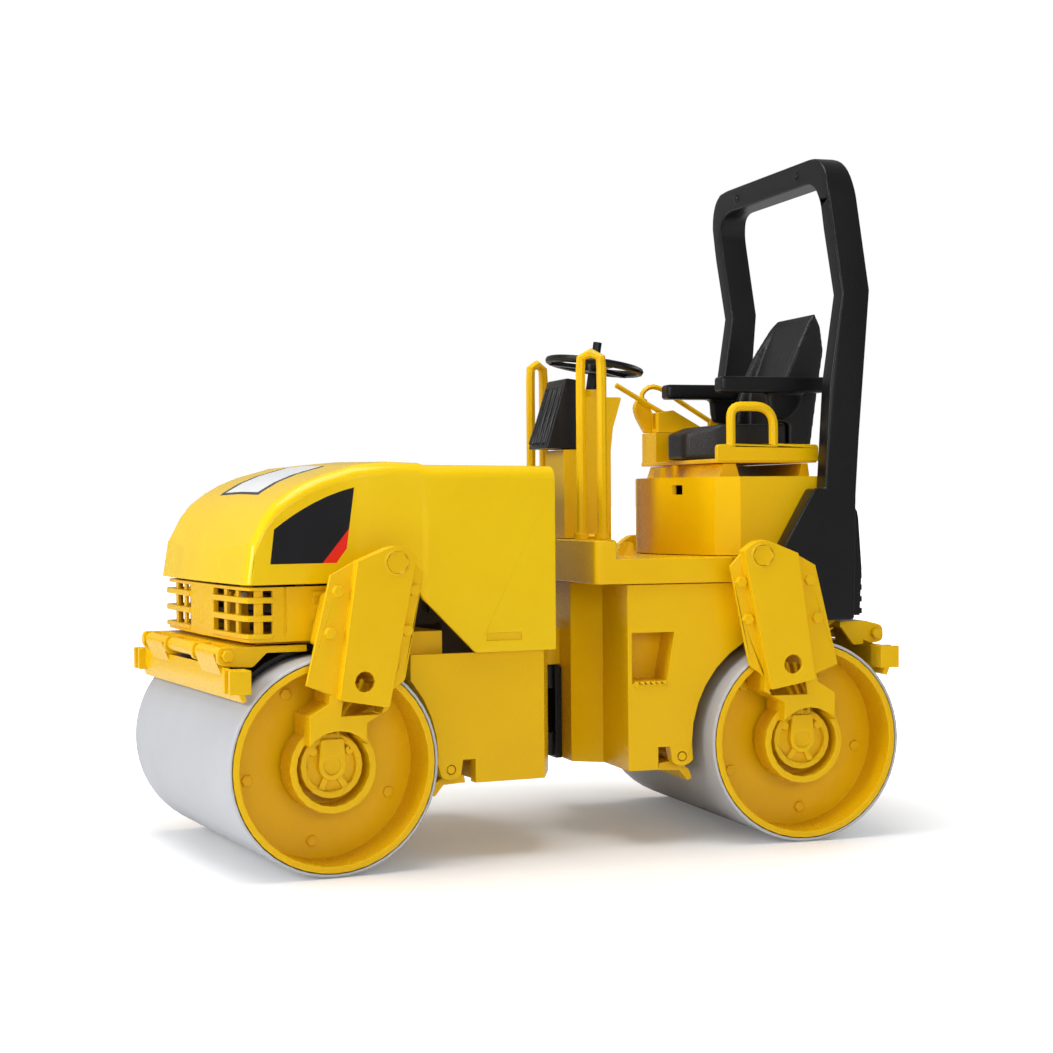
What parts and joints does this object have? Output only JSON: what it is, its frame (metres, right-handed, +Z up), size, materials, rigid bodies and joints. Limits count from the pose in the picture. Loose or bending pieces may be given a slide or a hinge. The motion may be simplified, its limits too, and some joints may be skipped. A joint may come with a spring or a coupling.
{
  "type": "toy road roller",
  "caption": "Articulated toy tandem road roller with turning drums, tilting engine hood, drum scrapers, driver's seat, steering wheel, control lever and a roll-over frame.",
  "frame": {"origin": "on the ground, under the middle of the whole machine as it stands", "axes": "+X is forwards along the rear half, +Y is to the driver's left, +Z is up; the front half stands turned 7.8 degrees to the left"},
  "size_m": [0.2774, 0.1574, 0.2615],
  "materials": {
    "body_yellow": "moulded saturated yellow, satin",
    "hood_yellow": "polished moulded yellow",
    "drum_grey": "light grey, fine matt",
    "satin_black": "black, fine grain, satin",
    "seat_black": "black, fine leather grain",
    "engine_grey": "dark grey, satin",
    "pin_steel": "drawn wire"
  },
  "bodies": {
    "rear_half": {"rear_chassis": "body_yellow", "articulation_knuckles": "satin_black", "king_pin": "pin_steel", "operator_deck": "body_yellow", "seat_pedestal": "body_yellow", "handrail_left": "body_yellow", "handrail_right": "body_yellow", "console_column": "body_yellow", "dash_panel": "satin_black", "rops_frame": "satin_black", "rear_cover": "satin_black", "rear_axle": "pin_steel", "rear_drum_arm_left": "body_yellow", "rear_drum_arm_right": "body_yellow", "rear_drive_motor_left": "body_yellow", "rear_drive_motor_right": "body_yellow", "rear_scraper_bracket": "body_yellow", "rear_scraper_rod": "body_yellow", "rear_flap_pin": "body_yellow"},
    "steering_yoke": {"articulation_yoke": "satin_black", "swing_collar": "satin_black"},
    "front_half": {"front_chassis": "body_yellow", "grille_box": "body_yellow", "front_mudguard": "satin_black", "hood_hinge_pin": "pin_steel", "engine_block": "engine_grey", "radiator": "satin_black", "air_filter": "satin_black", "front_axle": "pin_steel", "front_drum_arm_left": "body_yellow", "front_drum_arm_right": "body_yellow", "front_drive_motor_left": "body_yellow", "front_drive_motor_right": "body_yellow", "front_scraper_bracket": "body_yellow", "front_scraper_rod": "body_yellow", "front_flap_pin": "body_yellow"},
    "front_drum": {"front_drum_shell": "drum_grey", "front_drum_wheel_left": "body_yellow", "front_drum_wheel_right": "body_yellow"},
    "rear_drum": {"rear_drum_shell": "drum_grey", "rear_drum_wheel_left": "body_yellow", "rear_drum_wheel_right": "body_yellow"},
    "hood": {"engine_hood": "hood_yellow"},
    "front_scraper": {"front_scraper_blade": "body_yellow"},
    "rear_scraper": {"rear_scraper_blade": "body_yellow"},
    "front_flap": {"front_flap_scraper": "body_yellow"},
    "rear_flap": {"rear_flap_scraper": "body_yellow"},
    "steering_wheel": {"steering_wheel": "satin_black", "steering_shaft": "satin_black"},
    "seat": {"seat_tray": "body_yellow", "seat_cushion": "seat_black", "seat_backrest": "seat_black", "lever_boot": "body_yellow", "console_guard": "body_yellow"},
    "armrest_left": {"armrest_left": "satin_black"},
    "armrest_right": {"armrest_right": "satin_black"},
    "travel_lever": {"travel_lever": "body_yellow"}
  },
  "joints": [
    {"name": "steering", "type": "hinge", "parent": "rear_half", "child": "steering_yoke", "pos_m": [-0.01494, -0.0068, 0.047], "axis": [0, 0, 1], "range_deg": [-29.8, 14.2]},
    {"name": "front_rocking", "type": "hinge", "parent": "steering_yoke", "child": "front_half", "pos_m": [-0.00503, -0.00544, 0.047], "axis": [0.9907, 0.1357, 0], "range_deg": [-5, 5]},
    {"name": "front_drum_spin", "type": "hinge", "parent": "front_half", "child": "front_drum", "pos_m": [0.09206, 0.00786, 0.0382], "axis": [-0.1357, 0.9907, 0], "continuous": true},
    {"name": "rear_drum_spin", "type": "hinge", "parent": "rear_half", "child": "rear_drum", "pos_m": [-0.10044, -0.0068, 0.0382], "axis": [0, 1, 0], "continuous": true},
    {"name": "hood_tilt", "type": "hinge", "parent": "front_half", "child": "hood", "pos_m": [0.11436, 0.01091, 0.097], "axis": [-0.1357, 0.9907, 0], "range_deg": [0, 45]},
    {"name": "front_scraper_swing", "type": "hinge", "parent": "front_half", "child": "front_scraper", "pos_m": [0.12664, 0.01259, 0.0772], "axis": [-0.1357, 0.9907, 0], "range_deg": [-20, 0]},
    {"name": "rear_scraper_swing", "type": "hinge", "parent": "rear_half", "child": "rear_scraper", "pos_m": [-0.13534, -0.0068, 0.0772], "axis": [0, 1, 0], "range_deg": [0, 20]},
    {"name": "front_flap_swing", "type": "hinge", "parent": "front_half", "child": "front_flap", "pos_m": [0.0455, 0.00148, 0.0332], "axis": [-0.1357, 0.9907, 0], "range_deg": [-8, 25]},
    {"name": "rear_flap_swing", "type": "hinge", "parent": "rear_half", "child": "rear_flap", "pos_m": [-0.05344, -0.0068, 0.0332], "axis": [0, 1, 0], "range_deg": [-25, 8]},
    {"name": "steering_wheel_spin", "type": "hinge", "parent": "rear_half", "child": "steering_wheel", "pos_m": [-0.03884, -0.0068, 0.1829], "axis": [-0.153, 0, 0.9882], "continuous": true},
    {"name": "seat_slide", "type": "slide", "parent": "rear_half", "child": "seat", "axis": [0, 1, 0], "range_m": [-0.007, 0.007]},
    {"name": "armrest_left_fold", "type": "hinge", "parent": "seat", "child": "armrest_left", "pos_m": [-0.12054, 0.0172, 0.1744], "axis": [0, 1, 0], "range_deg": [-85, 0]},
    {"name": "armrest_right_fold", "type": "hinge", "parent": "seat", "child": "armrest_right", "pos_m": [-0.12054, -0.0308, 0.1744], "axis": [0, 1, 0], "range_deg": [-85, 0]},
    {"name": "travel_lever_tilt", "type": "hinge", "parent": "seat", "child": "travel_lever", "pos_m": [-0.08294, -0.042, 0.165], "axis": [0, 1, 0], "range_deg": [-15, 15]}
  ]
}
